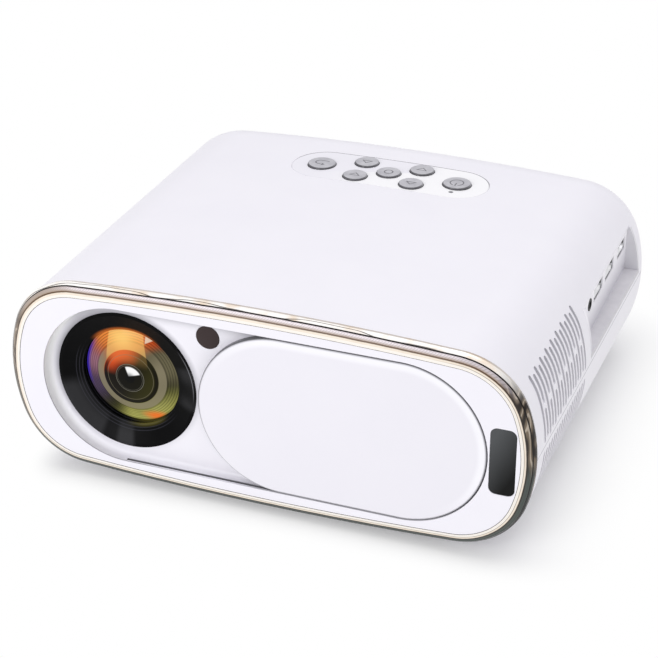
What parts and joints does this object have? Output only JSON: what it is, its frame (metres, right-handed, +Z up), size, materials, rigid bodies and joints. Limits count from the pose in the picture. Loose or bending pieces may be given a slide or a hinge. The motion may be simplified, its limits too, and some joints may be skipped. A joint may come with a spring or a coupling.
{
  "type": "home projector with disc tray",
  "caption": "Rounded home projector with a sliding lens cover, roof keys, side port bay, vents and a rear disc tray, with light engine, drive and fans inside.",
  "frame": {"origin": "middle of the footprint, on the surface that the feet stand on", "axes": "+Z up, -Y is the side the lens faces, +X is the port side, to the right when facing the lens side"},
  "size_m": [0.227, 0.1977, 0.0915],
  "materials": {
    "case_white": "fine satin moulding",
    "face_white": "smooth satin moulding",
    "trim_gold": "bright rose-gold plating",
    "bay_grey": "fine textured moulding",
    "dark_window": "polished dark tint",
    "lens_black": "satin black",
    "coated_glass": "amber and violet coating",
    "optic_clear": "clear optical plastic",
    "engine_black": "glass-filled black",
    "panel_gloss": "polished white",
    "key_grey": "silver-grey caps",
    "light_pipe": "frosted clear",
    "board_green": "solder-resist green",
    "led_copper": "copper-core board",
    "sink_aluminium": "extruded",
    "fan_black": "moulded black",
    "socket_steel": "nickel-plated sheet",
    "socket_black": "moulded black",
    "sheet_steel": "zinc-plated",
    "tray_black": "moulded black",
    "speaker_black": "paper cone and magnet",
    "foot_rubber": "soft rubber",
    "brass": "turned"
  },
  "bodies": {
    "case": {"top_shell": "case_white", "bottom_shell": "case_white", "front_panel": "face_white", "trim_ring": "trim_gold", "ir_window": "dark_window", "sensor_lens": "dark_window", "lens_hood": "lens_black", "lens_mount": "lens_black", "focus_motor": "sheet_steel", "engine_housing": "engine_black", "engine_cover": "engine_black", "fresnel_lenses": "optic_clear", "lcd_panel": "optic_clear", "heat_glass": "optic_clear", "condenser_lens": "optic_clear", "led_board": "led_copper", "heatsink": "sink_aluminium", "side_fan_frame": "fan_black", "rear_fan_frame": "fan_black", "main_board": "board_green", "hdmi_sockets": "socket_steel", "usb_socket": "socket_steel", "audio_socket": "socket_black", "power_board": "board_green", "control_panel": "panel_gloss", "key_board": "board_green", "status_light": "light_pipe", "port_bay": "bay_grey", "rear_panel": "case_white", "mains_inlet": "socket_black", "drive_chassis": "sheet_steel", "drive_lid": "sheet_steel", "mid_frame": "sheet_steel", "speakers": "speaker_black", "rubber_feet": "foot_rubber", "tripod_insert": "brass", "screws": "sheet_steel"},
    "cover": {"lens_cover": "face_white"},
    "tray": {"disc_tray": "tray_black", "tray_bezel": "case_white", "tray_motors": "sheet_steel", "sled_rods": "sheet_steel"},
    "rails": {"drive_rails": "sheet_steel"},
    "eject": {"eject_button": "case_white"},
    "spindle": {"spindle_hub": "tray_black"},
    "sled": {"laser_sled": "tray_black"},
    "feed": {"feed_screw": "sheet_steel"},
    "barrel": {"lens_barrel": "lens_black", "front_lens": "coated_glass", "inner_lenses": "coated_glass"},
    "focus": {"focus_screw": "sheet_steel"},
    "side_rotor": {"side_fan_rotor": "fan_black"},
    "rear_rotor": {"rear_fan_rotor": "fan_black"},
    "key_back": {"key_back": "key_grey"},
    "key_power": {"key_power": "key_grey"},
    "key_select": {"key_select": "key_grey"},
    "key_left": {"key_left": "key_grey"},
    "key_right": {"key_right": "key_grey"},
    "key_up": {"key_up": "key_grey"},
    "key_down": {"key_down": "key_grey"}
  },
  "joints": [
    {"name": "cover_slide", "type": "slide", "parent": "case", "child": "cover", "axis": [-1, 0, 0], "range_m": [0, 0.0691]},
    {"name": "key_back_press", "type": "slide", "parent": "case", "child": "key_back", "axis": [0, 0, -1], "range_m": [0, 0.0008], "stiffness_N_per_m": 900},
    {"name": "key_power_press", "type": "slide", "parent": "case", "child": "key_power", "axis": [0, 0, -1], "range_m": [0, 0.0008], "stiffness_N_per_m": 900},
    {"name": "key_select_press", "type": "slide", "parent": "case", "child": "key_select", "axis": [0, 0, -1], "range_m": [0, 0.0008], "stiffness_N_per_m": 900},
    {"name": "key_left_press", "type": "slide", "parent": "case", "child": "key_left", "axis": [0, 0, -1], "range_m": [0, 0.0008], "stiffness_N_per_m": 900},
    {"name": "key_right_press", "type": "slide", "parent": "case", "child": "key_right", "axis": [0, 0, -1], "range_m": [0, 0.0008], "stiffness_N_per_m": 900},
    {"name": "key_up_press", "type": "slide", "parent": "case", "child": "key_up", "axis": [0, 0, -1], "range_m": [0, 0.0008], "stiffness_N_per_m": 900},
    {"name": "key_down_press", "type": "slide", "parent": "case", "child": "key_down", "axis": [0, 0, -1], "range_m": [0, 0.0008], "stiffness_N_per_m": 900},
    {"name": "tray_slide", "type": "slide", "parent": "case", "child": "tray", "axis": [0, 1, 0], "range_m": [0, 0.12]},
    {"name": "rails_slide", "type": "slide", "parent": "case", "child": "rails", "axis": [0, 1, 0], "range_m": [0, 0.06]},
    {"name": "eject_press", "type": "slide", "parent": "tray", "child": "eject", "axis": [0, -1, 0], "range_m": [0, 0.0006], "stiffness_N_per_m": 900},
    {"name": "spindle_turn", "type": "hinge", "parent": "tray", "child": "spindle", "pos_m": [0, 0.02615, 0.013], "axis": [0, 0, 1], "continuous": true},
    {"name": "feed_turn", "type": "hinge", "parent": "tray", "child": "feed", "pos_m": [0.019, -0.01695, 0.0112], "axis": [0, 1, 0], "range_deg": [0, 4200]},
    {"name": "sled_slide", "type": "slide", "parent": "tray", "child": "sled", "axis": [0, -1, 0], "range_m": [0, 0.035]},
    {"name": "focus_turn", "type": "hinge", "parent": "case", "child": "focus", "pos_m": [-0.03332, -0.08745, 0.0658], "axis": [0, 1, 0], "range_deg": [-1081, 1029]},
    {"name": "barrel_slide", "type": "slide", "parent": "case", "child": "barrel", "axis": [0, -1, 0], "range_m": [-0.0021, 0.002]},
    {"name": "side_fan_turn", "type": "hinge", "parent": "case", "child": "side_rotor", "pos_m": [0.0831, -0.05165, 0.0467], "axis": [1, 0, 0], "continuous": true},
    {"name": "rear_fan_turn", "type": "hinge", "parent": "case", "child": "rear_rotor", "pos_m": [-0.0606, 0.06515, 0.0467], "axis": [0, 1, 0], "continuous": true}
  ],
  "couplings": [
    {"joint": "rails_slide", "follows": "tray_slide", "ratio": 0.5},
    {"joint": "feed_turn", "follows": "sled_slide", "rad_per_m": 2094.4},
    {"joint": "focus_turn", "follows": "barrel_slide", "rad_per_m": 8976}
  ]
}
